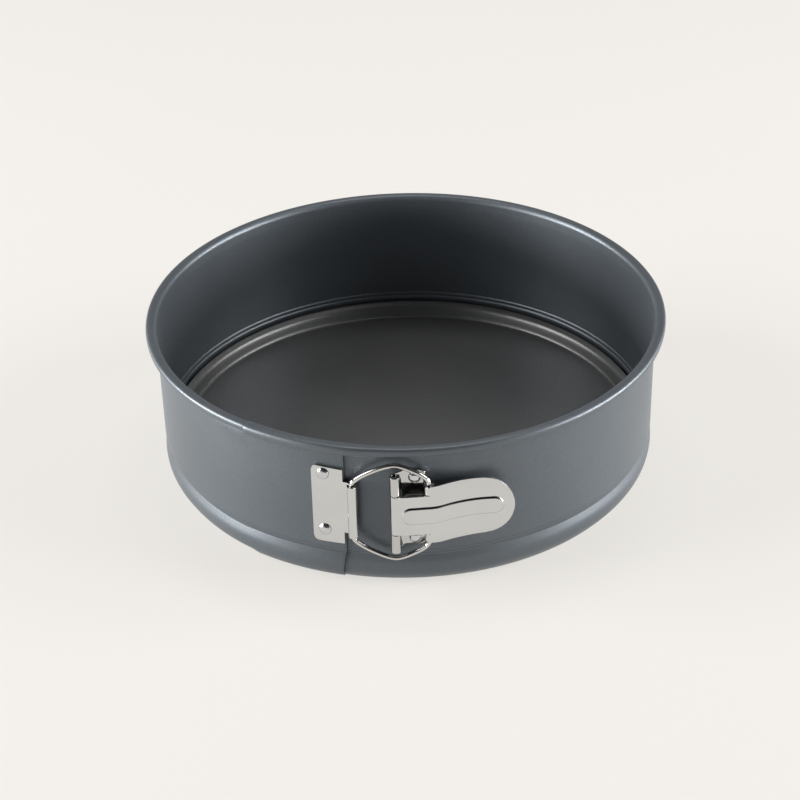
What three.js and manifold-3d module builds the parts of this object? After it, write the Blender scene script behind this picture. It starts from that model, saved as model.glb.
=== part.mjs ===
// Springform pan: a coated steel band that closes round a lift-out base plate,
// held by an over-centre wire latch. Millimetres, +Z up, -Y towards the latch.
// Origin: centre of the base plate's underside, on the pan's axis.
import * as THREE from 'three';
import { mergeVertices, mergeGeometries } from 'three/addons/utils/BufferGeometryUtils.js';
import Module from 'manifold-3d';

const wasm = await Module();
wasm.setup();

// ---- driving dimensions ----
const RIM_R = 113.0;          // half of the 226 mm (8.9 in) overall diameter
const HEIGHT = 68.6;          // 2.7 in overall height
const SHEET = 0.6;            // band and base sheet
const FLOOR_Z = 6.2;          // base plate's underside above the table
const WALL_R = 108.34;        // outer wall radius at 35 mm height
const WALL_TAPER = 0.009;     // outer radius gained per mm of height
const LAYER_GAP = 0.35;       // clearance between the overlapping ends
const SEAM = 0.3;             // clearance between neighbouring band arcs
const AZ_INNER = -36;         // free end of the inner layer
const AZ_OUTER = -14.2;       // free end of the outer layer
const AZ_SEAMS = [60, 180, 300];
const AZ_STEP = 5;

const LATCH_Z = 38.3;         // latch centre height above the table
const PLATE = 0.9;            // latch sheet
const PLATE_H = 35.8;         // keeper and bracket height
const BARREL_R = 2.1;         // rolled knuckles, outside
const BARREL_BORE = 1.4;
const PIN_R = 1.1;
const WIRE_R = 0.95;
const KEEPER = { az: -11.95, r: 112.7, half: 12.3, bore: 1.3 };
const PIVOT = { az: -3.17, r: 113.3, half: 18.1 };
const WIRE_X = 7.5, WIRE_Y = -112.35; // wire's seat in the lever
const TONGUE_HALF = 9.1;
const KEEPER_RIVETS = [15.2, -11.9], BRACKET_RIVETS = [15.4, -13.7]; // heights from the latch centre
const RIVET_HEAD_R = 2.6, RIVET_HEAD_H = 1.4, SHANK_R = 1.3, HOLE_R = 1.6;
const AZ_KEEPER_RIVET = -18.4, AZ_BRACKET_RIVET = 0.9;

// ---- helpers ----
const rad = (d) => (d * Math.PI) / 180;
const at = (az, r, z = 0) => new THREE.Vector3(r * Math.sin(rad(az)), -r * Math.cos(rad(az)), z);

function toSolid(geo) {
  let g = geo.index ? geo.toNonIndexed() : geo.clone();
  for (const k of Object.keys(g.attributes)) if (k !== 'position') g.deleteAttribute(k);
  g = mergeVertices(g, 1e-4);
  return new wasm.Manifold(new wasm.Mesh({
    numProp: 3,
    vertProperties: new Float32Array(g.attributes.position.array),
    triVerts: new Uint32Array(g.index.array),
  }));
}
function toGeometry(solid) {
  const m = solid.getMesh();
  const pos = new Float32Array((m.vertProperties.length / m.numProp) * 3);
  for (let i = 0; i < pos.length / 3; i++)
    for (let k = 0; k < 3; k++) pos[i * 3 + k] = m.vertProperties[i * m.numProp + k];
  const g = new THREE.BufferGeometry();
  g.setAttribute('position', new THREE.BufferAttribute(pos, 3));
  g.setIndex([...m.triVerts]);
  const flat = g.toNonIndexed();
  flat.computeVertexNormals();
  return flat;
}

// closed section [r, z] carried round the pan's axis from az0 to az1, capped at both ends
function sweepArc(section, az0, az1, step = AZ_STEP) {
  const n = Math.max(2, Math.ceil((az1 - az0) / step - 1e-6));
  const rings = [];
  for (let i = 0; i <= n; i++) {
    const az = az0 + ((az1 - az0) * i) / n;
    rings.push((typeof section === 'function' ? section(az) : section).map(([r, z]) => at(az, r, z)));
  }
  const first = (typeof section === 'function' ? section(az0) : section).map(([r, z]) => new THREE.Vector2(r, z));
  const last = (typeof section === 'function' ? section(az1) : section).map(([r, z]) => new THREE.Vector2(r, z));
  const ccw = !THREE.ShapeUtils.isClockWise(first);
  const pos = [], idx = [];
  rings.flat().forEach((p) => pos.push(p.x, p.y, p.z));
  const m = first.length;
  const tri = (a, b, c) => (ccw ? idx.push(a, b, c) : idx.push(a, c, b));
  for (let i = 0; i < n; i++)
    for (let j = 0; j < m; j++) {
      const a = i * m + j, b = i * m + ((j + 1) % m), c = a + m, d = b + m;
      tri(a, c, b); tri(b, c, d);
    }
  for (const [x, y, z] of THREE.ShapeUtils.triangulateShape(first, [])) idx.push(x, y, z);
  for (const [x, y, z] of THREE.ShapeUtils.triangulateShape(last, []))
    idx.push(n * m + x, n * m + z, n * m + y);
  const g = new THREE.BufferGeometry();
  g.setAttribute('position', new THREE.Float32BufferAttribute(pos, 3));
  g.setIndex(idx);
  const s = toSolid(g);
  if (s.volume() > 0) return s;
  g.setIndex(idx.map((v, i) => (i % 3 === 1 ? idx[i + 1] : i % 3 === 2 ? idx[i - 1] : v)));
  return toSolid(g);
}
// a sheet of even thickness about a centreline, as a closed section
function sheet(line, t = SHEET) {
  const left = [], right = [];
  line.forEach((p, i) => {
    const a = line[Math.max(0, i - 1)], b = line[Math.min(line.length - 1, i + 1)];
    const d = new THREE.Vector2(b[0] - a[0], b[1] - a[1]).normalize();
    left.push([p[0] - (d.y * t) / 2, p[1] + (d.x * t) / 2]);
    right.push([p[0] + (d.y * t) / 2, p[1] - (d.x * t) / 2]);
  });
  return [...left, ...right.reverse()];
}
function extrudePlan(points, z0, z1, holes = []) {
  const s = new THREE.Shape(points.map(([x, y]) => new THREE.Vector2(x, y)));
  for (const h of holes) s.holes.push(new THREE.Path(h.map(([x, y]) => new THREE.Vector2(x, y))));
  const g = new THREE.ExtrudeGeometry(s, { depth: z1 - z0, bevelEnabled: false });
  g.translate(0, 0, z0);
  return toSolid(g);
}
// outline in (sideways, up), pushed out along the radius at az from r0 to r1
function extrudeRadial(points, az, r0, r1, zc = 0) {
  const s = new THREE.Shape(points.map(([x, z]) => new THREE.Vector2(x, z)));
  const g = new THREE.ExtrudeGeometry(s, { depth: r1 - r0, bevelEnabled: false });
  g.rotateX(Math.PI / 2);            // (x, z, depth) -> depth runs along -Y
  g.translate(0, -r0, zc);
  g.rotateZ(rad(az));
  return toSolid(g);
}
const circle = (cx, cy, r, n = 20) =>
  Array.from({ length: n }, (_, i) => [cx + r * Math.cos((2 * Math.PI * i) / n), cy + r * Math.sin((2 * Math.PI * i) / n)]);
const ring = (c, ro, ri, z0, z1) => extrudePlan(circle(c.x, c.y, ro), z0, z1, [circle(c.x, c.y, ri).reverse()]);
function roundedRect(x0, x1, z0, z1, rl, rr, n = 5) {
  const out = [];
  const corner = (cx, cz, r, a0) => {
    if (r <= 0) { out.push([cx, cz]); return; }
    for (let i = 0; i <= n; i++) {
      const a = rad(a0 + (90 * i) / n);
      out.push([cx + r * Math.cos(a), cz + r * Math.sin(a)]);
    }
  };
  corner(x1 - rr, z1 - rr, rr, 0);
  corner(x0 + rl, z1 - rl, rl, 90);
  corner(x0 + rl, z0 + rl, rl, 180);
  corner(x1 - rr, z0 + rr, rr, 270);
  return out;
}
function smoothLine(points, n) {
  const c = new THREE.CatmullRomCurve3(points.map(([x, y]) => new THREE.Vector3(x, y, 0)), false, 'centripetal');
  return c.getPoints(n).map((p) => [p.x, p.y]);
}
function thicken(line, front, back) { // strip from -front to +back of a line that runs in +X
  const a = [], b = [];
  line.forEach((p, i) => {
    const q = line[Math.max(0, i - 1)], r = line[Math.min(line.length - 1, i + 1)];
    const d = new THREE.Vector2(r[0] - q[0], r[1] - q[1]).normalize();
    a.push([p[0] + d.y * front, p[1] - d.x * front]);
    b.push([p[0] - d.y * back, p[1] + d.x * back]);
  });
  return [...a, ...b.reverse()];
}
const steel = (name, colour, roughness, metalness) => Object.assign(
  new THREE.MeshStandardMaterial({ color: colour, roughness, metalness }), { name });

const pan = new THREE.Group();
pan.position.z = -FLOOR_Z;
function add(name, solid, material) {
  const mesh = new THREE.Mesh(toGeometry(solid), material);
  mesh.name = name;
  pan.add(mesh);
  return mesh;
}

// ---- band ----
const wallC = (z) => WALL_R + WALL_TAPER * (z - 35) - SHEET / 2;
// centreline of the sheet from the rolled rim down to the upturned hem: [r, z, rim, shift]
// rim marks the points of the rolled edge, shift the points that step outwards where the ends overlap
const BAND = [
  [110.9, 64.75, 1, 0], [112.25, 65.2, 1, 0], [112.7, 66.5, 1, 0], [112.4, 67.85, 1, 0],
  [111.3, 68.25, 1, 0], [109.6, 68.15, 1, 0], [108.6, 67.1, 1, 0], [108.36, 65.0, 0, 0],
  [wallC(62.6), 62.6, 0, 1], [wallC(20), 20, 0, 1],
  [107.6, 17.0, 0, 1], [107.12, 15.0, 0, 1], [107.5, 12.7, 0, 1], [107.95, 10.5, 0, 1],
  [107.98, 7.2, 0, 1], [107.35, 4.5, 0, 1], [106.2, 2.4, 0, 0.8], [105.1, 0.8, 0, 0.3],
  [104.4, 0.3, 0, 0], [103.7, 0.9, 0, 0], [103.6, 10.4, 0, 0],
];
const bandSection = sheet(BAND.map(([r, z]) => [r, z]));
const shiftOf = [...BAND.map((p) => p[3]), ...BAND.map((p) => p[3]).reverse()];
const rimOf = [...BAND.map((p) => p[2]), ...BAND.map((p) => p[2]).reverse()];
const STEP_OUT = LAYER_GAP + SHEET + 0.02;
const smooth = (t) => { const u = Math.min(1, Math.max(0, t)); return u * u * (3 - 2 * u); };

// inner end: its rolled rim is a little larger where it covers the outer layer
function innerSection(az) {
  const k = 0.16 * (1 - smooth((az + 14) / 8));
  return bandSection.map(([r, z], i) => (rimOf[i] && k > 0
    ? [110.7 + (r - 110.7) * (1 + k * (r > 109.6 ? 1 : 0.4)), 66.2 + (z - 66.2) * (1 + k * (z > 66.2 ? 0.6 : 0))]
    : [r, z]));
}
// outer end: steps outwards just before the inner layer begins
function outerSection(az) {
  const k = smooth((az - (AZ_INNER - 6.5)) / 5.6);
  return bandSection.map(([r, z], i) => [r + STEP_OUT * k * shiftOf[i], z]);
}
// outer layer over the inner one: plain wall, crease and bead, no rim and no hem
const OVER = BAND.slice(8, 17).map(([r, z]) => [r, z]);
OVER.unshift([wallC(63.2), 63.2]);
const overLine = OVER.map((p, i) => {
  const a = OVER[Math.max(0, i - 1)], b = OVER[Math.min(OVER.length - 1, i + 1)];
  const d = new THREE.Vector2(b[0] - a[0], b[1] - a[1]).normalize();
  return [p[0] - d.y * STEP_OUT, p[1] + d.x * STEP_OUT];
});
const overSection = sheet(overLine);

const half = (SEAM / 2 / RIM_R) * (180 / Math.PI);
const radialHole = (az, z, r0, r1, r = HOLE_R) => extrudeRadial(circle(0, 0, r, 16), az, r0, r1, z);

const coat = () => steel('coated_steel', 0x474d54, 0.42, 0.55);
const plateCoat = () => steel('coated_base', 0x54555a, 0.5, 0.5);
const nickel = () => steel('nickel', 0xc9c7c3, 0.2, 1.0);

let innerEnd = sweepArc(innerSection, AZ_INNER, AZ_SEAMS[0] - half);
for (const dz of BRACKET_RIVETS) innerEnd = innerEnd.subtract(radialHole(AZ_BRACKET_RIVET, LATCH_Z + dz, 100, 116));
add('band_inner_end', innerEnd, coat());
add('band_right_arc', sweepArc(bandSection, AZ_SEAMS[0] + half, AZ_SEAMS[1] - half), coat());
add('band_left_arc', sweepArc(bandSection, AZ_SEAMS[1] + half, AZ_SEAMS[2] - half), coat());
let outerEnd = sweepArc(outerSection, AZ_SEAMS[2] - 360 + half, AZ_INNER - 0.25, 1.9)
  .add(sweepArc(overSection, AZ_INNER - 0.9, AZ_OUTER, 3.7));
for (const dz of KEEPER_RIVETS) outerEnd = outerEnd.subtract(radialHole(AZ_KEEPER_RIVET, LATCH_Z + dz, 100, 116));
add('band_outer_end', outerEnd, coat());

// ---- base plate ----
const F = FLOOR_Z;
const baseProfile = [
  [0, F], [100.45, F], [101.0, F + 0.5], [103.05, 11.0], [105.75, 11.0], [105.95, 11.15], [105.95, 11.45],
  [105.75, 11.6], [103.1, 11.6], [102.55, 11.35], [100.7, F + 0.95], [100.2, F + SHEET], [0, F + SHEET],
].map(([r, z]) => new THREE.Vector2(r, z));
{
  const g = new THREE.LatheGeometry(baseProfile, 64);
  g.rotateX(Math.PI / 2);
  let s = toSolid(g);
  if (s.volume() < 0) {
    const i = g.index.array;
    for (let k = 0; k < i.length; k += 3) [i[k + 1], i[k + 2]] = [i[k + 2], i[k + 1]];
    s = toSolid(g);
  }
  add('base_plate', s, plateCoat());
}

// ---- keeper: plate on the outer layer, rolled into the wire's knuckle ----
const K = at(KEEPER.az, KEEPER.r), P = at(PIVOT.az, PIVOT.r);
const W = new THREE.Vector3(WIRE_X, WIRE_Y, 0);
const zTop = LATCH_Z + PLATE_H / 2, zBot = LATCH_Z - PLATE_H / 2;
const KEEPER_R = 109.9;
const keeperOutline = roundedRect(-6.6, 7.6, -PLATE_H / 2, PLATE_H / 2, 2.4, 0.4).map(([x, z]) => [x, z > 0 ? z + 0.06 * (7.6 - x) - 0.1 : z]);
let keeper = sweepArc([[KEEPER_R, zBot - 1], [KEEPER_R + PLATE, zBot - 1], [KEEPER_R + PLATE, zTop + 2], [KEEPER_R, zTop + 2]], -22, -14.2, 1.3)
  .intersect(extrudeRadial(keeperOutline, -17.6, 100, 118, LATCH_Z))
  .add(sweepArc([[KEEPER_R, LATCH_Z - KEEPER.half], [KEEPER_R + PLATE, LATCH_Z - KEEPER.half],
    [KEEPER_R + PLATE, LATCH_Z + KEEPER.half], [KEEPER_R, LATCH_Z + KEEPER.half]], -15, -12.3, 1.3))
  .add(extrudePlan([at(-13.0, KEEPER_R + 0.05), at(-11.8, KEEPER_R + 0.05), at(-11.5, 111.2), at(-12.7, 111.6)].map((p) => [p.x, p.y]),
    LATCH_Z - KEEPER.half, LATCH_Z + KEEPER.half))
  .add(extrudePlan(circle(K.x, K.y, BARREL_R), LATCH_Z - KEEPER.half, LATCH_Z + KEEPER.half))
  .subtract(extrudePlan(circle(K.x, K.y, KEEPER.bore, 16), LATCH_Z - 20, LATCH_Z + 20));
for (const dz of KEEPER_RIVETS) keeper = keeper.subtract(radialHole(AZ_KEEPER_RIVET, LATCH_Z + dz, 100, 116));
add('keeper_plate', keeper, nickel());

// ---- hinge bracket: plate on the inner layer, rolled into two knuckles round the pin ----
const BRACKET_R = 108.85;
const KNUCKLE_IN = TONGUE_HALF + 0.35;
let bracket = sweepArc([[BRACKET_R, zBot - 1], [BRACKET_R + PLATE, zBot - 1], [BRACKET_R + PLATE, zTop + 2], [BRACKET_R, zTop + 2]], -2.4, 4.2, 1.3)
  .intersect(extrudeRadial(roundedRect(-5.6, 4.6, -17.0, 18.8, 0.3, 3.0), 0.9, 100, 118, LATCH_Z));
for (const [z0, z1] of [[LATCH_Z + KNUCKLE_IN, LATCH_Z + PIVOT.half], [LATCH_Z - PIVOT.half, LATCH_Z - KNUCKLE_IN]]) {
  bracket = bracket
    .add(extrudePlan(circle(P.x, P.y, BARREL_R), z0, z1))
    .add(extrudePlan([[-3.9, -109.0], [-2.6, -109.7], [P.x + 2.02, P.y + 0.2], [P.x + 0.9, P.y + 1.2]], z0, z1));
}
bracket = bracket.subtract(extrudePlan(circle(P.x, P.y, BARREL_BORE, 16), LATCH_Z - 25, LATCH_Z + 25));
for (const dz of BRACKET_RIVETS) bracket = bracket.subtract(radialHole(AZ_BRACKET_RIVET, LATCH_Z + dz, 100, 116));
add('hinge_bracket', bracket, nickel());
{
  const g = new THREE.CylinderGeometry(PIN_R, PIN_R, 2 * PIVOT.half - 1.6, 14);
  g.rotateX(Math.PI / 2);
  g.translate(P.x, P.y, LATCH_Z);
  add('hinge_pin', toSolid(g), steel('pin_steel', 0x9a9895, 0.3, 1.0));
}

// ---- rivets: domed head, shank, and on the inner layer a flat closing head inside the pan ----
function rivet(name, az, z, seat, end, button) {
  const pts = [[0, end]];
  if (button) pts.push([2.4, end], [2.4, end + 0.5], [SHANK_R, end + 0.5]);
  else pts.push([SHANK_R, end]);
  pts.push([SHANK_R, seat], [RIVET_HEAD_R, seat]);
  for (let i = 1; i <= 5; i++) {
    const a = rad((90 * i) / 5);
    pts.push([i === 5 ? 0 : RIVET_HEAD_R * Math.cos(a), seat + RIVET_HEAD_H * Math.sin(a)]);
  }
  const g = new THREE.LatheGeometry(pts.map(([r, y]) => new THREE.Vector2(r, y)), 16);
  g.rotateX(Math.PI);               // axis along -Y
  g.rotateZ(rad(az));
  g.translate(0, 0, z);
  let s = toSolid(g);
  if (s.volume() < 0) {
    const i = g.index.array;
    for (let k = 0; k < i.length; k += 3) [i[k + 1], i[k + 2]] = [i[k + 2], i[k + 1]];
    s = toSolid(g);
  }
  add(name, s, steel('rivet_steel', 0xb9b8b6, 0.25, 1.0));
}
rivet('keeper_rivet_upper', AZ_KEEPER_RIVET, LATCH_Z + KEEPER_RIVETS[0], KEEPER_R + PLATE + 0.15, 109.0, false);
rivet('keeper_rivet_lower', AZ_KEEPER_RIVET, LATCH_Z + KEEPER_RIVETS[1], KEEPER_R + PLATE + 0.15, 109.0, false);
rivet('bracket_rivet_upper', AZ_BRACKET_RIVET, LATCH_Z + BRACKET_RIVETS[0], BRACKET_R + PLATE + 0.15, 106.85, true);
rivet('bracket_rivet_lower', AZ_BRACKET_RIVET, LATCH_Z + BRACKET_RIVETS[1], BRACKET_R + PLATE + 0.15, 106.85, true);

// ---- lever: rolled knuckle, tongue, shoulders with hooks for the wire, handle that follows the wall, rib ----
const FRONT = smoothLine([
  [P.x - 0.1, P.y - BARREL_R], [-1, -115.15], [2.5, -114.95], [5.5, -114.65], [8.3, -114.45], [11, -113.9], [13, -113.1],
  [15, -112.2], [18, -111.0], [21, -110.0], [24, -109.2], [27, -108.6], [30, -108.25], [33.5, -108.05], [37.5, -107.95], [43, -107.7],
], 40);
const tip = [[29.5, 13.3], [32.6, 12.75], [34.6, 12.0], [36.6, 10.8], [38.3, 9.3], [39.7, 7.5], [40.8, 5.4], [41.6, 2.8]];
const outline = [
  [P.x, -TONGUE_HALF], [6.0, -TONGUE_HALF], [6.0, -13.3], [12, -13.65], [20, -13.65],
  ...tip.map(([x, z]) => [x, -z]), [41.9, 0], ...tip.slice().reverse(), [20, 13.65], [12, 13.65], [6.0, 13.3], [6.0, TONGUE_HALF], [P.x, TONGUE_HALF],
];
const zPrism = (pts, y0, y1) => {
  const g = new THREE.ExtrudeGeometry(new THREE.Shape(pts.map(([x, z]) => new THREE.Vector2(x, z))), { depth: y1 - y0, bevelEnabled: false });
  g.rotateX(Math.PI / 2);
  g.translate(0, y1, LATCH_Z);
  return toSolid(g);
};
const RIB_HALF = 3.9, RIB_RISE = 0.6, RIB_X0 = 0.1, RIB_X1 = 33.6;
const oval = [];
for (let i = 0; i <= 8; i++) oval.push([RIB_X1 + RIB_HALF * Math.sin(rad(180 - 22.5 * i)), RIB_HALF * -Math.cos(rad(180 - 22.5 * i))]);
for (let i = 0; i <= 8; i++) oval.push([RIB_X0 - RIB_HALF * Math.sin(rad(22.5 * i)), RIB_HALF * -Math.cos(rad(22.5 * i))]);
let lever = extrudePlan(thicken(FRONT, 0, PLATE), LATCH_Z - 15, LATCH_Z + 15)
  .intersect(zPrism(outline, -125, -100))
  .add(extrudePlan(thicken(FRONT, RIB_RISE, 0.3), LATCH_Z - 5, LATCH_Z + 5).intersect(zPrism(oval, -125, -100)))
  .add(extrudePlan(circle(P.x, P.y, BARREL_R), LATCH_Z - TONGUE_HALF, LATCH_Z + TONGUE_HALF))
  .subtract(extrudePlan(circle(P.x, P.y, BARREL_BORE, 16), LATCH_Z - 15, LATCH_Z + 15));
const hook = [];
for (let i = 0; i <= 12; i++) { const a = rad(-80 - (235 * i) / 12); hook.push([W.x + 2.2 * Math.cos(a), W.y + 2.2 * Math.sin(a)]); }
for (let i = 12; i >= 0; i--) { const a = rad(-80 - (235 * i) / 12); hook.push([W.x + 1.35 * Math.cos(a), W.y + 1.35 * Math.sin(a)]); }
for (const [z0, z1] of [[9.3, 13.0], [-13.0, -9.3]]) lever = lever.add(extrudePlan(hook, LATCH_Z + z0, LATCH_Z + z1));
add('latch_lever', lever, nickel());

// ---- wire bail: six-sided loop, straight through the lever's hooks, ends at the keeper's knuckle ----
const upper = [
  [K.x, KEEPER.half + 0.45], [-23.0, 13.9], [-21.9, 15.1], [-20.0, 16.6], [-17.3, 18.3], [-13.8, 20.1], [-10.2, 21.6],
  [-8.0, 22.2], [-6.2, 22.4], [-4.4, 22.1], [-1.8, 21.15], [1.5, 19.5], [4.4, 17.8], [6.3, 16.1], [7.25, 14.4], [W.x, 12.9], [W.x, 11.5],
].map(([x, z]) => [x, K.y + ((W.y - K.y) * (x - K.x)) / (W.x - K.x) - 0.4 * Math.max(0, 1 - Math.abs(x + 7) / 13), z]);
const route = [...upper, [W.x, W.y, 4], [W.x, W.y, -4], ...upper.slice().reverse().map(([x, y, z]) => [x, y, -z])]
  .map(([x, y, z]) => new THREE.Vector3(x, y, z + LATCH_Z));
const wireSection = new THREE.Shape(circle(0, 0, WIRE_R, 8).map(([x, y]) => new THREE.Vector2(x, y)));
const bail = new THREE.ExtrudeGeometry(wireSection, { steps: 46, extrudePath: new THREE.CatmullRomCurve3(route, false, 'centripetal'), bevelEnabled: false });
add('wire_bail', toSolid(bail), nickel());

export default pan;
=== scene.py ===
import bpy, bmesh, math
import numpy as np
from mathutils import Vector, Matrix


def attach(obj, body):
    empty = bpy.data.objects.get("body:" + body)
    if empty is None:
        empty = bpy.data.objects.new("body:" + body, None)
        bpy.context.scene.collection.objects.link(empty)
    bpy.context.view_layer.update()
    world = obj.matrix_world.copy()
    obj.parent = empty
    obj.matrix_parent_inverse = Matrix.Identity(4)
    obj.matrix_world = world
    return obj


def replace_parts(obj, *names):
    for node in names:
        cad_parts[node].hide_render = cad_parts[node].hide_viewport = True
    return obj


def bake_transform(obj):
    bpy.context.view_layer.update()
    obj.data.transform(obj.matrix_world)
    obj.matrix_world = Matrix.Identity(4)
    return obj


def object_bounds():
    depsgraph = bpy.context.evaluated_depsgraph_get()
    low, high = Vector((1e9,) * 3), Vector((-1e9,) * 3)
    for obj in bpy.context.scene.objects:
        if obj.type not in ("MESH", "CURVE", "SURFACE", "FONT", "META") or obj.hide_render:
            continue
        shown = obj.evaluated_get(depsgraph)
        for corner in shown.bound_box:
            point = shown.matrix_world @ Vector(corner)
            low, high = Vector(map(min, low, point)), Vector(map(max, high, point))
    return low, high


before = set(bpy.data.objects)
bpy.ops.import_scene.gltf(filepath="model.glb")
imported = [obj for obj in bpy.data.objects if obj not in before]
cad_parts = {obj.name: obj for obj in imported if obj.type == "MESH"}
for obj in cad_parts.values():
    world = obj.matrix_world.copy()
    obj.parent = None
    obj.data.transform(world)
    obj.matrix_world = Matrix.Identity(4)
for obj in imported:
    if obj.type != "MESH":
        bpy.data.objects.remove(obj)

CAD_BOX = [list(map(float, c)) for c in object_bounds()]
MM = 0.001
FLOOR_Z = 6.2            # the base plate's underside above the table, mm


# ------------------------------------------------------------------ camera
def set_camera():
    tx, tz, dist, elev, focal, roll = -3.2968, 15.4676, 1000.0, 0.55686, 2237.24, -0.02528
    back = np.array([0, -math.cos(elev), math.sin(elev)])
    right = np.array([1.0, 0, 0])
    up = np.cross(back, right)
    r2 = right * math.cos(roll) + up * math.sin(roll)
    u2 = -right * math.sin(roll) + up * math.cos(roll)
    eye = np.array([tx, 0, tz]) + back * dist
    cam = bpy.data.cameras.new("camera")
    cam.sensor_width = 36.0
    cam.lens = focal * 36.0 / 800.0
    cam.clip_start, cam.clip_end = 0.01, 50
    ob = bpy.data.objects.new("camera", cam)
    bpy.context.scene.collection.objects.link(ob)
    m = Matrix.Identity(4)
    for i in range(3):
        m[i][0], m[i][1], m[i][2], m[i][3] = r2[i], u2[i], back[i], eye[i] * MM
    ob.matrix_world = m
    bpy.context.scene.camera = ob


set_camera()


# ------------------------------------------------------------------ mesh tools
def new_object(name, verts_mm, faces, smooth_angle=40):
    me = bpy.data.meshes.new(name)
    v = np.asarray(verts_mm, float) * MM
    me.from_pydata([tuple(p) for p in v], [], [tuple(int(i) for i in f) for f in faces])
    me.validate()
    me.polygons.foreach_set("use_smooth", [True] * len(me.polygons))
    me.update()
    ob = bpy.data.objects.new(name, me)
    bpy.context.scene.collection.objects.link(ob)
    ob["smooth_angle"] = smooth_angle
    return ob


def face_out(ob):
    bm = bmesh.new()
    bm.from_mesh(ob.data)
    bmesh.ops.remove_doubles(bm, verts=bm.verts, dist=1e-8)
    bmesh.ops.recalc_face_normals(bm, faces=bm.faces)
    bm.to_mesh(ob.data)
    bm.free()


def finish_mesh(ob, bevel=None, segments=2, weight_only=False):
    """Applies the bevel and sets the sharp edges, leaving a plain mesh."""
    if bevel:
        mod = ob.modifiers.new("bevel", "BEVEL")
        mod.width = bevel * MM
        mod.segments = segments
        mod.limit_method = "WEIGHT" if weight_only else "ANGLE"
        mod.angle_limit = math.radians(50)
        mod.harden_normals = False
    dg = bpy.context.evaluated_depsgraph_get()
    me = bpy.data.meshes.new_from_object(ob.evaluated_get(dg))
    ob.modifiers.clear()
    old = ob.data
    ob.data = me
    bpy.data.meshes.remove(old)
    me.polygons.foreach_set("use_smooth", [True] * len(me.polygons))
    me.set_sharp_from_angle(angle=math.radians(ob["smooth_angle"]))
    del ob["smooth_angle"]
    return ob


def sheet_piece(name, point, normal, include, ni, nj, thick, flat_ends=(), wrap=False, smooth_angle=40):
    """A bent sheet as one closed mesh. point(i, j) and normal(i, j) give its middle surface on a grid,
    include(i, j) says which cells are there. Edges of the sheet get a bevel weight, apart from those at the
    columns in flat_ends, where another length of the same sheet goes on."""
    verts, index, faces = [], {}, []
    P = {}

    def vid(i, j, side):
        if wrap:
            i %= ni
        k = (i, j, side)
        if k not in index:
            if (i, j) not in P:
                P[(i, j)] = (np.asarray(point(i, j), float), np.asarray(normal(i, j), float))
            p, n = P[(i, j)]
            index[k] = len(verts)
            verts.append(p + n * (thick / 2 if side else -thick / 2))
        return index[k]

    cols = range(ni if wrap else ni)
    on = {(i, j) for i in cols for j in range(nj) if include(i, j)}
    for i, j in on:
        faces.append((vid(i, j, 1), vid(i + 1, j, 1), vid(i + 1, j + 1, 1), vid(i, j + 1, 1)))
        faces.append((vid(i, j, 0), vid(i, j + 1, 0), vid(i + 1, j + 1, 0), vid(i + 1, j, 0)))

    def there(i, j):
        return ((i % ni) if wrap else i, j) in on

    soft = set()
    for i, j in on:
        for (a, b, ok, end) in (((i, j), (i + 1, j), there(i, j - 1), None), ((i + 1, j), (i + 1, j + 1), there(i + 1, j), i + 1),
                                ((i + 1, j + 1), (i, j + 1), there(i, j + 1), None), ((i, j + 1), (i, j), there(i - 1, j), i)):
            if ok:
                continue
            q = (vid(*a, 1), vid(*a, 0), vid(*b, 0), vid(*b, 1))
            faces.append(q)
            if end is None or end not in flat_ends:
                soft.add(frozenset((q[0], q[3])))
                soft.add(frozenset((q[1], q[2])))
    ob = new_object(name, verts, faces, smooth_angle)
    w = ob.data.attributes.new("bevel_weight_edge", "FLOAT", "EDGE")
    ev = np.zeros(len(ob.data.edges) * 2, int)
    ob.data.edges.foreach_get("vertices", ev)
    w.data.foreach_set("value", [1.0 if frozenset((int(a), int(b))) in soft else 0.0 for a, b in ev.reshape(-1, 2)])
    bm = bmesh.new()
    bm.from_mesh(ob.data)
    bmesh.ops.recalc_face_normals(bm, faces=bm.faces)
    bm.to_mesh(ob.data)
    bm.free()
    return ob


def catmull(points, per=8, closed=False):
    """A smooth line through the points (centripetal Catmull-Rom)."""
    p = np.asarray(points, float)
    out = []
    n = len(p)
    segs = n if closed else n - 1
    for k in range(segs):
        if closed:
            a, b, c, d = p[(k - 1) % n], p[k], p[(k + 1) % n], p[(k + 2) % n]
        else:
            b, c = p[k], p[k + 1]
            a = p[k - 1] if k else 2 * b - c
            d = p[k + 2] if k + 2 < n else 2 * c - b
        t0 = 0.0
        t1 = t0 + max(1e-9, np.linalg.norm(b - a)) ** 0.5
        t2 = t1 + max(1e-9, np.linalg.norm(c - b)) ** 0.5
        t3 = t2 + max(1e-9, np.linalg.norm(d - c)) ** 0.5
        for s in range(per):
            t = t1 + (t2 - t1) * s / per
            A1 = (t1 - t) / (t1 - t0) * a + (t - t0) / (t1 - t0) * b
            A2 = (t2 - t) / (t2 - t1) * b + (t - t1) / (t2 - t1) * c
            A3 = (t3 - t) / (t3 - t2) * c + (t - t2) / (t3 - t2) * d
            B1 = (t2 - t) / (t2 - t0) * A1 + (t - t0) / (t2 - t0) * A2
            B2 = (t3 - t) / (t3 - t1) * A2 + (t - t1) / (t3 - t1) * A3
            out.append((t2 - t) / (t2 - t1) * B1 + (t - t1) / (t2 - t1) * B2)
    if not closed:
        out.append(p[-1])
    return np.array(out)


def resample(line, step):
    line = np.asarray(line, float)
    d = np.r_[0, np.cumsum(np.linalg.norm(np.diff(line, axis=0), axis=1))]
    n = max(2, int(round(d[-1] / step)) + 1)
    s = np.linspace(0, d[-1], n)
    return np.stack([np.interp(s, d, line[:, k]) for k in range(line.shape[1])], 1)


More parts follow.
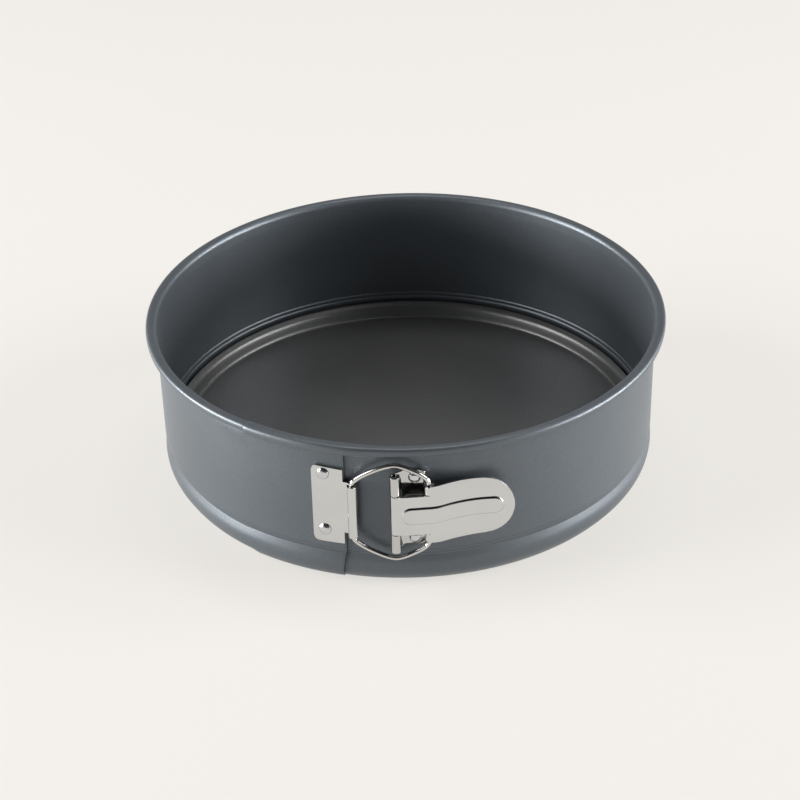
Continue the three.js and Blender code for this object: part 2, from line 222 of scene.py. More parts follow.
def left_normals(line):
    d = np.gradient(line, axis=0)
    d /= np.linalg.norm(d, axis=1)[:, None]
    return np.stack([-d[:, 1], d[:, 0]], 1)


def smoothstep(t):
    t = min(1.0, max(0.0, t))
    return t * t * (3 - 2 * t)


def polar(az, r, z=0.0):
    a = math.radians(az)
    return np.array([r * math.sin(a), -r * math.cos(a), z])


# ------------------------------------------------------------------ materials
class Nodes:
    def __init__(self, name):
        self.mat = bpy.data.materials.new(name)
        self.mat.use_nodes = True
        self.t = self.mat.node_tree
        self.t.nodes.clear()
        self.out = self.t.nodes.new("ShaderNodeOutputMaterial")
        self.bsdf = self.t.nodes.new("ShaderNodeBsdfPrincipled")
        self.t.links.new(self.bsdf.outputs[0], self.out.inputs[0])
        self.coord = self.t.nodes.new("ShaderNodeTexCoord").outputs["Object"]

    def link(self, a, b):
        self.t.links.new(a, b)

    def noise(self, scale, detail=2.0, rough=0.5, vector=None):
        n = self.t.nodes.new("ShaderNodeTexNoise")
        n.inputs["Scale"].default_value = scale
        n.inputs["Detail"].default_value = detail
        n.inputs["Roughness"].default_value = rough
        self.link(vector or self.coord, n.inputs["Vector"])
        return n.outputs["Fac"]

    def remap(self, value, a, b, c, d, clamp=True):
        n = self.t.nodes.new("ShaderNodeMapRange")
        n.clamp = clamp
        for k, v in zip(("From Min", "From Max", "To Min", "To Max"), (a, b, c, d)):
            n.inputs[k].default_value = v
        self.link(value, n.inputs["Value"])
        return n.outputs[0]

    def math(self, op, a, b=0.0):
        n = self.t.nodes.new("ShaderNodeMath")
        n.operation = op
        for k, v in enumerate((a, b)):
            if isinstance(v, (int, float)):
                n.inputs[k].default_value = v
            else:
                self.link(v, n.inputs[k])
        return n.outputs[0]

    def ramp(self, value, stops):
        n = self.t.nodes.new("ShaderNodeValToRGB")
        while len(n.color_ramp.elements) < len(stops):
            n.color_ramp.elements.new(0.5)
        for e, (p, c) in zip(n.color_ramp.elements, stops):
            e.position, e.color = p, (*c, 1)
        self.link(value, n.inputs[0])
        return n.outputs[0]

    def mix(self, fac, a, b):
        n = self.t.nodes.new("ShaderNodeMix")
        n.data_type = "RGBA"
        for s, v in ((0, fac), (6, a), (7, b)):
            if isinstance(v, (int, float)):
                n.inputs[s].default_value = v
            elif isinstance(v, tuple):
                n.inputs[s].default_value = (*v, 1)
            else:
                self.link(v, n.inputs[s])
        return n.outputs[2]

    def bump(self, height, strength, distance, normal=None):
        n = self.t.nodes.new("ShaderNodeBump")
        n.inputs["Strength"].default_value = strength
        n.inputs["Distance"].default_value = distance
        self.link(height, n.inputs["Height"])
        if normal is not None:
            self.link(normal, n.inputs["Normal"])
        return n.outputs[0]

    def set(self, **values):
        for k, v in values.items():
            s = self.bsdf.inputs[k.replace("_", " ")]
            if isinstance(v, (int, float)):
                s.default_value = v
            elif isinstance(v, tuple):
                s.default_value = (*v, 1)
            else:
                self.link(v, s)


def coated(name, base, warm, rough=0.34, metal=0.85, speck=1.0, peel=0.16):
    """Satin non-stick coating: fine speckle, faint cloudy tone, orange-peel bump."""
    m = Nodes(name)
    speckle = m.noise(2600, 2, 0.6)
    cloud = m.noise(14, 3, 0.5)
    fine = m.noise(900, 3, 0.6)
    tone = m.math("ADD", m.remap(speckle, 0.3, 0.7, -0.14 * speck, 0.14 * speck), m.remap(cloud, 0.3, 0.7, -0.07, 0.07))
    tone = m.math("ADD", tone, 0.5)
    col = m.ramp(tone, [(0.25, tuple(c * 0.8 for c in base)), (0.5, base), (0.75, warm)])
    m.set(Base_Color=col, Metallic=metal,
          Roughness=m.math("ADD", m.remap(fine, 0.3, 0.7, rough - 0.04, rough + 0.05), m.remap(cloud, 0.3, 0.7, -0.02, 0.02)),
          Normal=m.bump(m.noise(1500, 2, 0.55), peel, 0.00006))
    m.bsdf.inputs["Specular IOR Level"].default_value = 0.5
    return m.mat


def nickel(name, tint=(0.625, 0.625, 0.622), rough=0.12, grain=1.0):
    """Bright nickel plate on pressed sheet: soft waviness, faint drawn grain and handling marks."""
    m = Nodes(name)
    mp = m.t.nodes.new("ShaderNodeMapping")
    mp.inputs["Scale"].default_value = (1, 1, 14)
    m.link(m.coord, mp.inputs["Vector"])
    streak = m.noise(420, 3, 0.6, mp.outputs[0])
    blotch = m.noise(60, 2, 0.5)
    wave = m.noise(130, 1, 0.4)
    col = m.mix(m.remap(blotch, 0.35, 0.7, 0.0, 0.35), tint, tuple(c * 0.88 for c in tint))
    m.set(Base_Color=col, Metallic=1.0,
          Roughness=m.math("ADD", m.remap(streak, 0.3, 0.7, rough - 0.03, rough + 0.06 * grain), m.remap(blotch, 0.3, 0.7, 0, 0.03)),
          Normal=m.bump(wave, 0.10 * grain, 0.0004, m.bump(streak, 0.05 * grain, 0.00005)))
    return m.mat


BAND_MAT = coated("band_coating", (0.106, 0.121, 0.136), (0.148, 0.167, 0.186), rough=0.40, metal=0.60)
BASE_MAT = coated("base_coating", (0.142, 0.144, 0.144), (0.190, 0.190, 0.187), rough=0.36, metal=0.68)
NICKEL = nickel("latch_nickel")
# bracket_nickel is the latch's nickel plating made a little darker: painted shade for the dark reflections on the
# bracket behind the lever
BRACKET_SHADED_NICKEL = nickel("bracket_nickel", (0.56, 0.553, 0.545), 0.08)
WIRE_MAT = nickel("wire_nickel", (0.62, 0.605, 0.59), 0.1, 0.6)
RIVET_MAT = nickel("rivet_steel", (0.60, 0.61, 0.625), 0.15, 0.7)
PIN_MAT = nickel("pin_steel", (0.36, 0.35, 0.34), 0.3, 1.5)


def dress(ob, mat):
    ob.data.materials.clear()
    ob.data.materials.append(mat)
    return ob


# ------------------------------------------------------------------ band
T = 0.6
RIM_R, WALL_R, WALL_TAPER, LAYER_GAP = 113.0, 108.34, 0.009, 0.35
AZ_INNER, AZ_OUTER = -36.0, -14.2


def wall_c(z):
    return WALL_R + WALL_TAPER * (z - 35) - T / 2


# [r, z, rim, shift] down the sheet's middle, from the rolled rim's hidden edge to the upturned hem
BAND = np.array([
    [109.75, 65.0, 1, 0], [110.5, 64.85, 1, 0], [111.3, 64.88, 1, 0], [112.0, 65.12, 1, 0], [112.5, 65.62, 1, 0], [112.68, 66.4, 1, 0],
    [112.66, 67.2, 1, 0], [112.45, 67.82, 1, 0], [111.95, 68.15, 1, 0], [111.1, 68.27, 1, 0], [110.2, 68.25, 1, 0], [109.45, 68.05, 1, 0],
    [108.85, 67.5, 1, 0], [108.52, 66.7, 1, 0], [108.43, 65.7, 1, 0], [108.37, 64.4, 0, 0.0], [wall_c(62.6), 62.6, 0, 1], [wall_c(55), 55, 0, 1], [wall_c(41), 41, 0, 1],
    [wall_c(28), 28, 0, 1], [wall_c(20.5), 20.5, 0, 1], [wall_c(18.0), 18.0, 0, 1], [107.83, 17.12, 0, 1], [107.62, 16.8, 0, 1],
    [107.42, 16.52, 0, 1], [107.39, 15.95, 0, 1], [107.34, 15.36, 0, 1], [107.15, 15.02, 0, 1], [106.94, 14.74, 0, 1], [106.9, 14.2, 0, 1], [106.95, 13.75, 0, 1],
    [107.13, 13.15, 0, 1], [107.38, 12.3, 0, 1], [107.67, 11.3, 0, 1], [107.93, 10.2, 0, 1], [108.06, 9.0, 0, 1],
    [108.06, 7.8, 0, 1], [107.82, 6.1, 0, 1], [107.32, 4.55, 0, 1], [106.62, 3.25, 0, 0.9], [105.75, 2.1, 0, 0.45],
    [104.95, 1.2, 0, 0], [104.5, 0.7, 0, 0], [104.12, 0.62, 0, 0], [103.84, 1.2, 0, 0], [103.77, 3.0, 0, 0], [103.75, 6.6, 0, 0], [103.75, 9.2, 0, 0],
])
prof = catmull(BAND, 5)
PR = prof[:, :2]
PN = left_normals(PR)
P_RIM, P_SHIFT = prof[:, 2], prof[:, 3]
NJ = len(PR) - 1
STEP_OUT = LAYER_GAP + T + 0.02
J_TOP = int(np.argmin(np.abs(PR[:100, 1] - 63.2) + 10 * (PR[:100, 0] > 109)))
J_LOW = int(np.argmin(np.abs(PR[:, 1] - 2.6) + 10 * (PR[:, 0] < 105.2)))


def ring_point(az, r, z):
    return polar(az, r, z - FLOOR_Z)


def ring_normal(az, n):
    a = math.radians(az)
    return np.array([n[0] * math.sin(a), -n[0] * math.cos(a), n[1]])


def band_piece(name, az0, az1, section, include, flat_ends, step=1.0, lean=None):
    n = int(round((az1 - az0) / step))
    azs = np.linspace(az0, az1, n + 1)
    secs = [section(a) for a in azs]
    lean = lean or (lambda az, z: 0.0)

    def point(i, j):
        r, z = secs[i][0][j]
        return ring_point(azs[i] + lean(azs[i], z), r, z)

    def normal(i, j):
        return ring_normal(azs[i], secs[i][1][j])

    ob = sheet_piece(name, point, normal, lambda i, j: i < n and include(azs[i], azs[min(i + 1, n)], j), n, NJ, T,
                     flat_ends=[{"a": 0, "b": n}[k] for k in flat_ends])
    return finish_mesh(ob, 0.13, 2, weight_only=True)


def plain_section(az):
    return PR, PN


def inner_section(az):
    k = 0.16 * (1 - smoothstep((az + 14) / 8))
    if k <= 0:
        return PR, PN
    q = PR.copy()
    for j in range(len(q)):
        if P_RIM[j] > 0:
            w = k * P_RIM[j]
            r, z = PR[j]
            q[j] = [110.7 + (r - 110.7) * (1 + w * (1.9 if r > 110.7 else 1.5)), 66.2 + (z - 66.2) * (1 + w * (0.6 if z > 66.2 else 2.2))]
    return q, left_normals(q)


def outer_section(az):
    k = smoothstep((az - (AZ_INNER - 25)) / 24.4)
    if k <= 0:
        return PR, PN
    radial = PR + np.stack([STEP_OUT * k * P_SHIFT, 0 * P_SHIFT], 1)
    over = PR + PN * STEP_OUT
    m = smoothstep((az - (AZ_INNER - 3)) / 2.5)
    keep = np.clip((P_SHIFT - 0.2) / 0.3, 0, 1)[:, None] * m
    q = radial * (1 - keep) + over * keep
    return q, left_normals(q)


CUT_R, CUT_L = 120.0, 240.0
v1 = band_piece("band_visual_right", AZ_INNER, CUT_R, inner_section, lambda a, b, j: True, ["b"])
v2 = band_piece("band_visual_back", CUT_R, CUT_L, plain_section, lambda a, b, j: True, ["a", "b"])
V3_AZ1 = AZ_OUTER
v3 = band_piece("band_visual_left", CUT_L - 360, V3_AZ1, outer_section,
                lambda a, b, j: (0.5 * (a + b) < AZ_INNER - 0.25) or (J_TOP <= j < J_LOW), ["a"], step=0.7,
                lean=lambda az, z: smoothstep((az + 22) / 7.8) * (0.2 - 0.95 * smoothstep((20 - z) / 17)))
for v in (v1, v2, v3):
    dress(v, BAND_MAT)
polar(22, 108) * MM
polar(98, 108) * MM
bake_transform(v1)
polar(142, 108) * MM
polar(218, 108) * MM
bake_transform(v2)
polar(262, 108) * MM
polar(330, 108) * MM
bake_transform(v3)
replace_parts(v1, "band_inner_end")
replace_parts(v2, "band_right_arc", "band_left_arc")
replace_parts(v3, "band_outer_end")


# ------------------------------------------------------------------ base plate
def base_plate():
    F = FLOOR_Z
    top = catmull([[0, F + 0.6], [30, F + 0.6], [70, F + 0.6], [98.8, F + 0.6], [100.3, F + 0.62], [101.0, F + 0.87], [101.55, F + 1.65],
                   [102.0, F + 2.7], [102.5, F + 3.9], [103.0, F + 4.85], [103.65, F + 5.6], [104.5, F + 6.12], [105.6, F + 6.65]], 5)
    n = -left_normals(top)
    top_r = top[:, 0]
    n[top_r < 90] = [0, 1] if n[5][1] > 0 else [0, -1]
    under = top - n * (0.6 * np.sign(n[5][1]))
    edge_c = (top[-1] + under[-1]) / 2
    edge = [edge_c + 0.3 * np.array([math.cos(a), math.sin(a)]) for a in np.radians([60, 30, 0, -30, -60])]
    loop = np.vstack([top, edge, under[::-1]])
    seg = 180
    verts, faces = [], []
    inner = [k for k in range(len(loop)) if loop[k][0] > 0.5]
    for s in range(seg):
        for k in inner:
            verts.append(polar(360 * s / seg, loop[k][0], loop[k][1] - FLOOR_Z))
    m = len(inner)
    a0, b0 = len(verts), len(verts) + 1
    verts.append([0, 0, 0.6])
    verts.append([0, 0, 0.0])
    for s in range(seg):
        t = (s + 1) % seg
        for k in range(m - 1):
            faces.append((s * m + k, t * m + k, t * m + k + 1, s * m + k + 1))
        faces.append((a0, t * m, s * m))
        faces.append((b0, s * m + m - 1, t * m + m - 1))
    ob = new_object("base_visual", verts, faces, 50)
    face_out(ob)
    return finish_mesh(ob)


base = dress(base_plate(), BASE_MAT)
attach(base, "base")
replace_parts(base, "base_plate")


# ------------------------------------------------------------------ latch, pressed sheet
LATCH_Z = 38.3 - FLOOR_Z
PT = 0.8
K = polar(-11.95, 112.7)[:2]
P = polar(-3.17, 113.3)[:2]
W = np.array([7.5, -112.35])


def arc(c, r, a0, a1, step=8.0):
    n = max(2, int(abs(a1 - a0) / step))
    return [np.array(c) + r * np.array([math.cos(math.radians(a)), math.sin(math.radians(a))]) for a in np.linspace(a0, a1, n + 1)]


def plan_sheet(name, line, rows, height, include, thick=PT, side=1, bevel=0.16, angle=40):
    """A sheet that stands along a plan line. rows are signed fractions, height(i, v) gives z, side the outward side."""
    nrm = left_normals(line) * side

    def point(i, j):
        return [line[i][0], line[i][1], LATCH_Z + height(i, rows[j])]

    ob = sheet_piece(name, point, lambda i, j: [nrm[i][0], nrm[i][1], 0.0], include, len(line) - 1, len(rows) - 1, thick, smooth_angle=angle)
    return finish_mesh(ob, bevel, 2, weight_only=True)


def plan_angle(v):
    return math.degrees(math.atan2(v[1], v[0]))


# keeper: plate, tab, knuckle that rolls round the wire
def keeper():
    r_mid = 109.9 + PT / 2
    az = lambda x: -17.6 + math.degrees(x / 110.3)
    plate = [polar(a, r_mid)[:2] for a in np.linspace(az(-6.6), az(6.4), 26)] + [polar(a, r_mid)[:2] for a in np.linspace(az(6.6), -14.2, 7)]
    roll_r = 2.1 - PT / 2
    k0 = plan_angle(-K)                      # from the knuckle towards the pan's axis
    roll = arc(K, roll_r, k0 + 34, k0 + 34 - 318, 8)
    if roll[4][0] < K[0]:
        roll = arc(K, roll_r, k0 - 34, k0 - 34 + 318, 8)
    lead = catmull([plate[-2], plate[-1], polar(-13.75, r_mid + 0.12)[:2], polar(-13.2, r_mid + 0.32)[:2], roll[0], roll[1]], 4)
    lead = [q for q in lead[5:-5]]
    line = np.array(plate + lead + roll)
    n_plate = len(plate) - 1
    x_of = np.array([110.3 * math.radians(math.degrees(math.atan2(q[0], -q[1])) + 17.6) for q in line])
    x_of[n_plate:] = 7.6
    h, lo, R = 12.3, 17.9, 2.4
    inner = list(np.linspace(-h, h, 25))
    outer = list(np.linspace(h, lo, 9))[1:]
    rows = [-v for v in outer[::-1]] + inner + outer

    def height(i, v):
        if abs(v) <= h:
            return v
        x = x_of[i]
        top = 17.8 + 0.06 * (7.6 - x) if v > 0 else 17.9
        d = x + 6.6
        if d < R:
            top -= R - math.sqrt(max(0.0, R * R - (R - d) ** 2))
        return math.copysign(h + (abs(v) - h) * (top - h) / (lo - h), v)

    return plan_sheet("keeper_visual", line, rows, height, lambda i, j: i < n_plate or abs(0.5 * (rows[j] + rows[j + 1])) < h, side=-1)


keep = dress(keeper(), NICKEL)
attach(keep, "outer_band")
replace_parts(keep, "keeper_plate")


# hinge bracket: plate on the inner end with two tabs that rise and roll round the pin
def bracket():
    r_mid = 108.85 + PT / 2
    az = lambda x: 0.9 + math.degrees(x / 109.25)
    plate = [polar(a, r_mid)[:2] for a in np.linspace(az(4.6), az(-5.4), 32)]
    roll_r = 2.1 - PT / 2
    k0 = plan_angle(-P)
    a0, turn = k0 - 40, -300
    if arc(P, roll_r, a0, a0 + turn, 8)[5][0] > P[0]:
        a0, turn = k0 + 40, 300
    roll = arc(P, roll_r, a0, a0 + turn, 8)
    rise = catmull([plate[-2], plate[-1], polar(-2.35, 109.7)[:2], roll[0], roll[2]], 6)
    rise = [q for q in rise[7:-6]]
    line = np.array(plate + rise[:-1] + roll)
    n_plate = len(plate) - 1
    x_of = np.array([109.25 * math.radians(math.degrees(math.atan2(q[0], -q[1])) - 0.9) for q in line])
    x_of[n_plate:] = -5.6
    h, R = 9.45, 3.0
    inner = list(np.linspace(-h, h, 14))
    outer = list(np.linspace(h, 18.0, 13))[1:]
    rows = [-v for v in outer[::-1]] + inner + outer

    def height(i, v):
        if abs(v) <= h:
            return v
        x = x_of[i]
        if i > n_plate:
            top = 18.1
        else:
            top = 18.75 if v > 0 else 16.95
            d = 4.6 - x
            if d < R:
                top -= R - math.sqrt(max(0.0, R * R - (R - d) ** 2))
            top += (18.1 - top) * smoothstep((-4.2 - x) / 1.4)
        return math.copysign(h + (abs(v) - h) * (top - h) / (18.0 - h), v)

    return plan_sheet("bracket_visual", line, rows, height, lambda i, j: i < n_plate or abs(0.5 * (rows[j] + rows[j + 1])) > h, side=1)


brk = dress(bracket(), BRACKET_SHADED_NICKEL)
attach(brk, "inner_band")
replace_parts(brk, "hinge_bracket")


# lever
def lever():
    front = catmull([[P[0] - 0.1, P[1] - 2.1], [-1, -115.15], [2.5, -114.95], [5.5, -114.65], [8.3, -114.45], [11, -113.9], [13, -113.1],
                     [15, -112.2], [18, -111.0], [21, -110.0], [24, -109.2], [27, -108.6], [30, -108.25], [33.5, -108.05],
                     [37.5, -107.95], [41.9, -107.75]], 6)
    nf = left_normals(front)
    mid = resample(front + nf * PT / 2, 0.26)
    roll_r = 2.1 - PT / 2
    roll = arc(P, roll_r, -90 - 285, -90, 9)
    line = np.array(roll[:-1] + list(mid[1:]))
    n_roll = len(roll) - 1
    X = line[:, 0]
    i_sh = n_roll + int(np.searchsorted(mid[1:, 0], 7.5))
    s = np.r_[0, np.cumsum(np.linalg.norm(np.diff(line, axis=0), axis=1))]
    s_sh = s[i_sh]
    # half height of the shoulders and handle against x
    hx = [6, 8.5, 12, 20, 25, 29.5, 32.6, 34.6, 36.6, 38.3, 39.7, 40.8, 41.6, 41.85, 41.95]
    hz = [13.3, 13.45, 13.65, 13.65, 13.5, 13.3, 12.75, 12.0, 10.8, 9.3, 7.5, 5.4, 2.8, 1.2, 0.6]

    def half(x):
        return float(np.interp(x, hx, hz))

    t_in, h0, h1, top = 9.1, 9.3, 13.0, 13.3
    rows = sorted(set([round(v, 4) for v in np.r_[np.linspace(-t_in, -4.3, 10), np.linspace(-4.15, -2.95, 10), np.linspace(-2.6, 2.6, 11), np.linspace(2.95, 4.15, 10), np.linspace(4.3, t_in, 10), np.linspace(h0, h1, 10), np.linspace(-h1, -h0, 10), top, -top]]))
    rows = np.array(rows)
    # hooks: round the wire from the front by the left to the back
    na = i_sh
    hook_n = 22
    hook = np.array(arc(W, 2.2 - PT / 2, -84, -84 - 232, 232 / hook_n))[: hook_n + 1]
    hook_d = np.array([[math.cos(math.radians(a)), math.sin(math.radians(a))] for a in np.linspace(-84, -84 - 232, hook_n + 1)])
    nrm = left_normals(line) * -1
    rib_r, rise = 4.0, 0.68
    s_at = lambda x: float(np.interp(x, X[n_roll:], s[n_roll:]))
    ra, rb = s_at(0.1), s_at(33.6)

    def rib(i, z):
        d = math.hypot(max(ra - s[i], 0, s[i] - rb), z)
        return rise * smoothstep((rib_r - d) / 0.85)

    def zof(i, v):
        if i < i_sh:
            return v
        h = half(X[i])
        if h >= top:
            return v if abs(v) < h1 else (v if abs(v) == h1 else math.copysign(h, v))
        return v * h / top

    def is_hook(i, j):
        m = abs(0.5 * (rows[j] + rows[j + 1]))
        return h0 < m < h1

    def point(i, j):
        v = rows[j]
        if i < i_sh and abs(v) >= h0 - 1e-6:
            k = i_sh - i
            if k <= hook_n:
                q = hook[k]
                return [q[0], q[1], LATCH_Z + v]
        z = zof(i, v)
        p = line[i] + nrm[i] * (rib(i, z) if i >= n_roll else 0)
        return [p[0], p[1], LATCH_Z + z]

    def normal(i, j):
        v = rows[j]
        if i < i_sh and abs(v) >= h0 - 1e-6 and i_sh - i <= hook_n:
            d = hook_d[i_sh - i]
            return [d[0], d[1], 0]
        base = np.array([nrm[i][0], nrm[i][1], 0.0])
        if i < n_roll:
            return base
        z = zof(i, v)
        e = 0.15
        gz = (rib(i, z + e) - rib(i, z - e)) / (2 * e)
        i0, i1 = max(n_roll, i - 1), min(len(line) - 1, i + 1)
        gs = (rib(i1, z) - rib(i0, z)) / max(1e-6, s[i1] - s[i0])
        tan = np.array([line[i1][0] - line[i0][0], line[i1][1] - line[i0][1], 0])
        tan /= np.linalg.norm(tan)
        n = base - np.array([0, 0, gz]) - tan * gs
        return n / np.linalg.norm(n)

    def include(i, j):
        m = abs(0.5 * (rows[j] + rows[j + 1]))
        if m < t_in:
            return True
        if i >= i_sh:
            return True
        return h0 < m < h1 and i >= i_sh - hook_n

    ob = sheet_piece("lever_visual", point, normal, include, len(line) - 1, len(rows) - 1, PT, smooth_angle=40)
    return finish_mesh(ob, 0.16, 2, weight_only=True)


lev = dress(lever(), NICKEL)
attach(lev, "lever")
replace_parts(lev, "latch_lever")


# ------------------------------------------------------------------ wire bail, pin, rivets
def tube(name, path, radius, sides=20, closed=True, angle=60):
    path = np.asarray(path, float)
    n = len(path)
    tang = np.roll(path, -1, 0) - np.roll(path, 1, 0) if closed else np.gradient(path, axis=0)
    tang /= np.linalg.norm(tang, axis=1)[:, None]
    ref = np.array([0.0, -1.0, 0.0])
    verts, faces = [], []
    for k in range(n):
        u = ref - tang[k] * (ref @ tang[k])
        u /= np.linalg.norm(u)
        w = np.cross(tang[k], u)
        for q in range(sides):
            a = 2 * math.pi * q / sides
            verts.append(path[k] + radius * (math.cos(a) * u + math.sin(a) * w))
    for k in range(n if closed else n - 1):
        for q in range(sides):
            a, b = k * sides + q, k * sides + (q + 1) % sides
            c, d = ((k + 1) % n) * sides + q, ((k + 1) % n) * sides + (q + 1) % sides
            faces.append((a, b, d, c))
    if not closed:
        faces.append(tuple(range(sides)))
        faces.append(tuple(range((n - 1) * sides, n * sides)))
    ob = new_object(name, verts, faces, angle)
    face_out(ob)
    return ob


def bail():
    shape = [(K[0], 0.0), (K[0], 6.0), (K[0], 11.3), (K[0] + 0.02, 12.75), (-23.0, 13.9), (-21.9, 15.1), (-20.0, 16.6), (-17.3, 18.3), (-13.8, 20.1),
             (-10.2, 21.6), (-8.0, 22.2), (-6.2, 22.4), (-4.4, 22.1), (-1.8, 21.15), (1.5, 19.5), (4.4, 17.8), (6.3, 16.1), (7.25, 14.4),
             (W[0] - 0.02, 12.9), (W[0], 11.5), (W[0], 6.0)]

    def depth(x):
        return K[1] + (W[1] - K[1]) * (x - K[0]) / (W[0] - K[0]) - 0.4 * max(0.0, 1 - abs(x + 7) / 13)

    up = [[x, depth(x), z] for x, z in shape]
    down = [[W[0], W[1], 0.0]] + [[x, y, -z] for x, y, z in up[::-1][:-1]]
    loop = catmull(np.array(up + down), 9, closed=True)
    loop[:, 2] += LATCH_Z
    return finish_mesh(tube("bail_visual", loop, 1.0, 22))


wire = dress(bail(), WIRE_MAT)
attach(wire, "bail")
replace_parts(wire, "wire_bail")


def lathe(name, profile, origin, axis, seg=40, angle=35):
    """profile [r, h] from the axis round to the axis; h runs along axis from origin."""
    axis = np.asarray(axis, float) / np.linalg.norm(axis)
    ref = np.array([0, 0, 1.0]) if abs(axis[2]) < 0.9 else np.array([1.0, 0, 0])
    u = np.cross(axis, ref)
    u /= np.linalg.norm(u)
    w = np.cross(axis, u)
    pts = np.asarray(profile, float)
    verts, faces = [], []
    body = pts[1:-1]
    for s in range(seg):
        a = 2 * math.pi * s / seg
        d = math.cos(a) * u + math.sin(a) * w
        for r, h in body:
            verts.append(np.asarray(origin) + d * r + axis * h)
    m = len(body)
    a0 = len(verts)
    verts += [np.asarray(origin) + axis * pts[0][1], np.asarray(origin) + axis * pts[-1][1]]
    for s in range(seg):
        t = (s + 1) % seg
        for k in range(m - 1):
            faces.append((s * m + k, t * m + k, t * m + k + 1, s * m + k + 1))
        faces.append((a0, t * m, s * m))
        faces.append((a0 + 1, s * m + m - 1, t * m + m - 1))
    ob = new_object(name, verts, faces, angle)
    face_out(ob)
    return finish_mesh(ob)


def rivet(name, az, dz, seat, end, button, body):
    prof = [[0, end]]
    if button:
        prof += [[1.6, end], [2.15, end + 0.05], [2.38, end + 0.25], [2.4, end + 0.5], [1.3, end + 0.5]]
    else:
        prof += [[1.25, end]]
    prof += [[1.3, seat], [2.45, seat], [2.58, seat + 0.06], [2.6, seat + 0.18]]
    for k in range(1, 12):
        a = math.radians(90 * k / 12)
        prof.append([2.58 * math.cos(a), seat + 0.16 + 1.22 * math.sin(a)])
    prof.append([0, seat + 1.38])
    d = polar(az, 1.0)
    ob = lathe(name, prof, np.array([0, 0, LATCH_Z + dz]), d)
    dress(ob, RIVET_MAT)
    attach(ob, body)
    return ob


for nm, az, dz, seat, end, btn, bod in (
        ("keeper_rivet_upper", -18.4, 15.2, 109.9 + PT, 109.0, False, "outer_band"), ("keeper_rivet_lower", -18.4, -11.9, 109.9 + PT, 109.0, False, "outer_band"),
        ("bracket_rivet_upper", 0.9, 15.4, 108.85 + PT, 106.85, True, "inner_band"), ("bracket_rivet_lower", 0.9, -13.7, 108.85 + PT, 106.85, True, "inner_band")):
    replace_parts(rivet(nm + "_visual", az, dz, seat + 0.02, end, btn, bod), nm)

pin = lathe("pin_visual", [[0, -17.3], [0.8, -17.3], [1.1, -17.0], [1.1, 17.0], [0.8, 17.3], [0, 17.3]], np.array([P[0], P[1], LATCH_Z]), [0, 0, 1], 28)
dress(pin, PIN_MAT)
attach(pin, "inner_band")
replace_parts(pin, "hinge_pin")


# ------------------------------------------------------------------ floor, light
def stage_floor():
    me = bpy.data.meshes.new("stage_floor")
    z = CAD_BOX[0][2] - 0.0001
    s = 6.0
    me.from_pydata([(-s, -s, z), (s, -s, z), (s, s, z), (-s, s, z)], [], [(0, 1, 2, 3)])
    ob = bpy.data.objects.new("stage_floor", me)
    bpy.context.scene.collection.objects.link(ob)
    m = Nodes("floor_paper")
    paper = m.noise(3, 2)
    m.set(Base_Color=m.mix(m.remap(paper, 0.3, 0.7, 0, 1), (0.22, 0.214, 0.204), (0.225, 0.219, 0.209)), Roughness=0.95,
          Emission_Color=(1.0, 0.972, 0.93), Emission_Strength=0.635)
    m.bsdf.inputs["Specular IOR Level"].default_value = 0.05
    ob.data.materials.append(m.mat)


stage_floor()


def area(name, loc, target, size, power, colour=(1, 1, 1), size_y=None):
    li = bpy.data.lights.new(name, "AREA")
    li.shape = "RECTANGLE"
    li.size, li.size_y = size, size_y or size
    li.energy = power
    li.color = colour
    ob = bpy.data.objects.new(name, li)
    bpy.context.scene.collection.objects.link(ob)
    ob.location = loc
    ob.rotation_euler = (Vector(target) - Vector(loc)).to_track_quat("-Z", "Y").to_euler()
    return ob


area("soft_left", (-1.6, -0.14, 0.17), (0, 0, 0.03), 1.2, 49, (1, 0.995, 0.985), 0.32)
area("soft_right", (1.6, -0.10, 0.17), (0, 0, 0.03), 1.2, 35.5, (1, 0.995, 0.985), 0.32)
area("upper_left", (-1.45, -0.1, 0.98), (0, 0, 0.03), 1.1, 15, (1, 0.995, 0.985), 0.6)
area("upper_right", (1.45, -0.1, 0.98), (0, 0, 0.03), 1.1, 16, (1, 0.995, 0.985), 0.6)
area("soft_top", (0.1, 0.5, 1.6), (0, 0, 0.03), 0.9, 6, (1, 1, 1), 0.5)


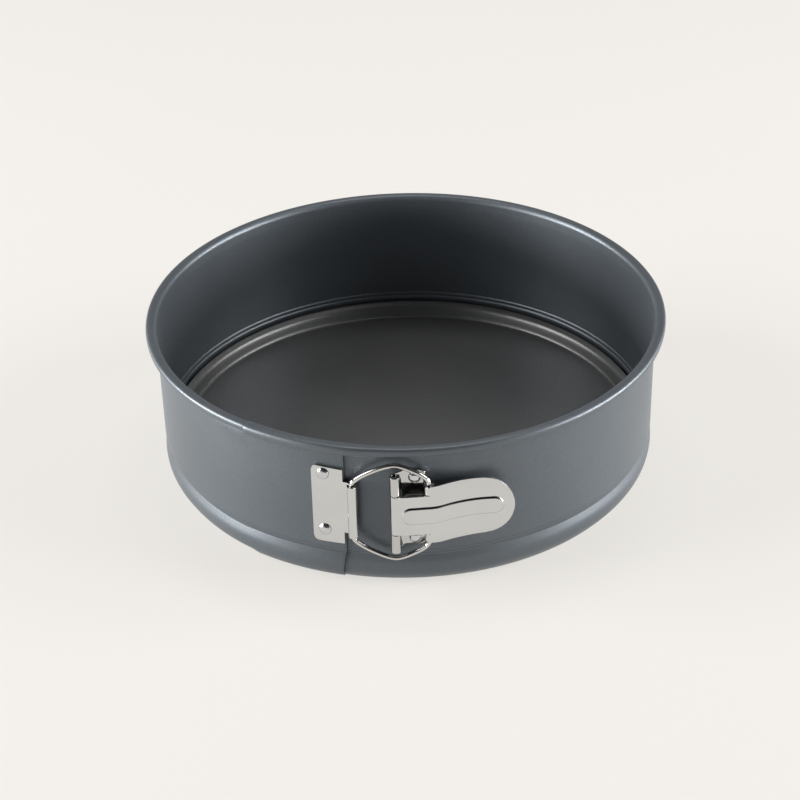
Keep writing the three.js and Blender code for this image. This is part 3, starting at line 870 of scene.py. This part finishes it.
def studio_world():
    """A tent that is bright at both sides, dark in front and overhead, with a weak panel above."""
    world = bpy.data.worlds.new("studio")
    bpy.context.scene.world = world
    world.use_nodes = True
    t = world.node_tree
    t.nodes.clear()
    out, bg = t.nodes.new("ShaderNodeOutputWorld"), t.nodes.new("ShaderNodeBackground")
    sep = t.nodes.new("ShaderNodeSeparateXYZ")
    t.links.new(t.nodes.new("ShaderNodeTexCoord").outputs["Generated"], sep.inputs[0])

    def math_node(op, a, b=0.0):
        n = t.nodes.new("ShaderNodeMath")
        n.operation = op
        for k, v in enumerate((a, b)):
            if isinstance(v, (int, float)):
                n.inputs[k].default_value = v
            else:
                t.links.new(v, n.inputs[k])
        return n.outputs[0]

    def curve(value, stops):
        n = t.nodes.new("ShaderNodeValToRGB")
        while len(n.color_ramp.elements) < len(stops):
            n.color_ramp.elements.new(0.5)
        for e, (p, c) in zip(n.color_ramp.elements, stops):
            e.position, e.color = p, (c, c, c, 1)
        t.links.new(value, n.inputs[0])
        return n.outputs[0]

    side = curve(math_node("ABSOLUTE", sep.outputs["X"]), [(0.0, 0.0), (0.42, 0.0), (0.82, 1.0), (1.0, 1.0)])
    at_side = curve(sep.outputs["Z"], [(0.0, 0.9), (0.1, 0.8), (0.25, 0.3), (0.4, 0.06), (0.6, 0.02), (1.0, 0.02)])
    ahead = curve(sep.outputs["Z"], [(0.0, 0.07), (0.12, 0.06), (0.45, 0.08), (0.6, 0.012), (0.9, 0.012), (1.0, 0.20)])
    back = math_node("MULTIPLY", curve(sep.outputs["Y"], [(0.0, 0.0), (0.25, 0.0), (0.7, 1.0), (1.0, 1.0)]),
                     curve(sep.outputs["Z"], [(0.0, 0.35), (0.3, 0.40), (0.7, 0.35), (1.0, 0.0)]))
    total = math_node("ADD", math_node("ADD", math_node("MULTIPLY", side, at_side), ahead), back)
    t.links.new(total, bg.inputs[0])
    bg.inputs[1].default_value = 1.0
    t.links.new(bg.outputs[0], out.inputs[0])


studio_world()

bpy.context.scene.view_settings.view_transform = "Standard"
